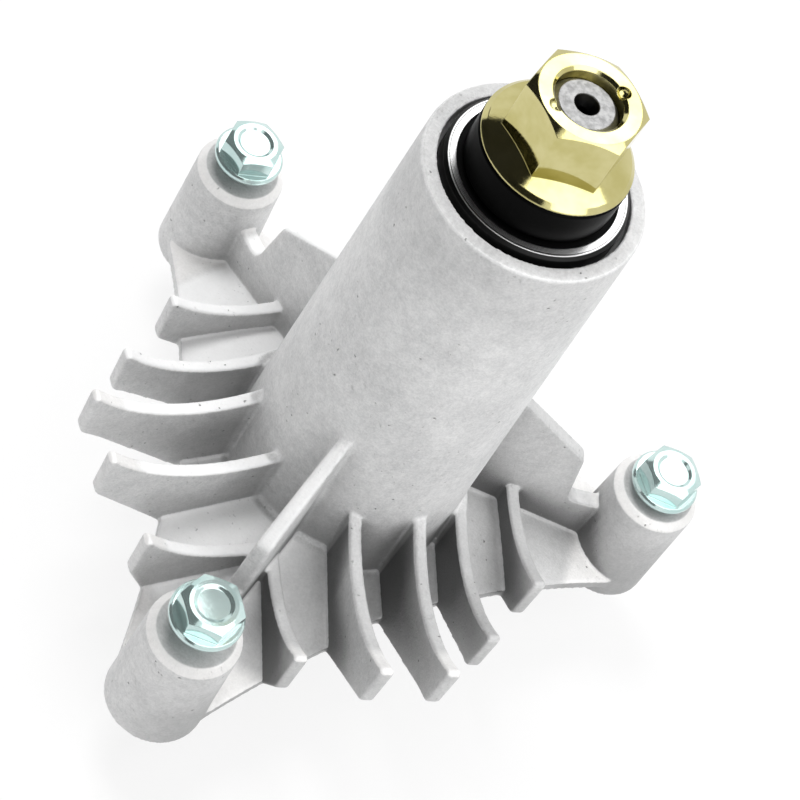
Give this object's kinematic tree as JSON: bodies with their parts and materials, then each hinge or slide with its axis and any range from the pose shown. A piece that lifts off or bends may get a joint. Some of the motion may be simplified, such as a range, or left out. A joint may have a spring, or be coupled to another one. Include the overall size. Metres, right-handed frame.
{
  "type": "mower deck spindle assembly",
  "caption": "Mower deck spindle: finned cast aluminium housing on bolt bosses, sealed ball bearings, shaft with a flange nut on top and a star blade seat below.",
  "frame": {"origin": "on the spindle axis, level with the tops of the bolt bosses, where the mower deck lies", "axes": "+Z along the spindle axis towards the nut, -Y towards the front boss, +X to the right of it"},
  "size_m": [0.148, 0.1312, 0.1746],
  "materials": {
    "cast_aluminium": "satin, as cast and blasted",
    "zinc_bright": "bright zinc plate, slightly blue",
    "zinc_yellow": "pale yellow zinc plate, glossy",
    "spacer_black": "black oxide",
    "shaft_steel": "turned",
    "bearing_steel": "ground and polished",
    "cage_steel": "pressed",
    "seal_rubber": "matt black"
  },
  "bodies": {
    "casting": {"housing": "cast_aluminium", "mounting_bolts": "zinc_bright", "upper_outer_race": "bearing_steel", "upper_seal_top": "seal_rubber", "upper_seal_bottom": "seal_rubber", "lower_outer_race": "bearing_steel", "lower_seal_top": "seal_rubber", "lower_seal_bottom": "seal_rubber"},
    "spindle": {"shaft": "shaft_steel", "flange_nut": "zinc_yellow", "spacer_collar": "spacer_black", "spacer_sleeve": "shaft_steel", "upper_inner_race": "bearing_steel", "lower_inner_race": "bearing_steel"},
    "upper_ball_set": {"upper_balls": "bearing_steel", "upper_cage_top": "cage_steel", "upper_cage_bottom": "cage_steel"},
    "lower_ball_set": {"lower_balls": "bearing_steel", "lower_cage_top": "cage_steel", "lower_cage_bottom": "cage_steel"}
  },
  "joints": [
    {"name": "spindle_spin", "type": "hinge", "parent": "casting", "child": "spindle", "pos_m": [0, 0, 0], "axis": [0, 0, 1], "continuous": true},
    {"name": "upper_ball_orbit", "type": "hinge", "parent": "casting", "child": "upper_ball_set", "pos_m": [0, 0, 0.0905], "axis": [0, 0, 1], "continuous": true},
    {"name": "lower_ball_orbit", "type": "hinge", "parent": "casting", "child": "lower_ball_set", "pos_m": [0, 0, -0.028], "axis": [0, 0, 1], "continuous": true}
  ],
  "couplings": [
    {"joint": "upper_ball_orbit", "follows": "spindle_spin", "ratio": 0.3816},
    {"joint": "lower_ball_orbit", "follows": "spindle_spin", "ratio": 0.3816}
  ]
}
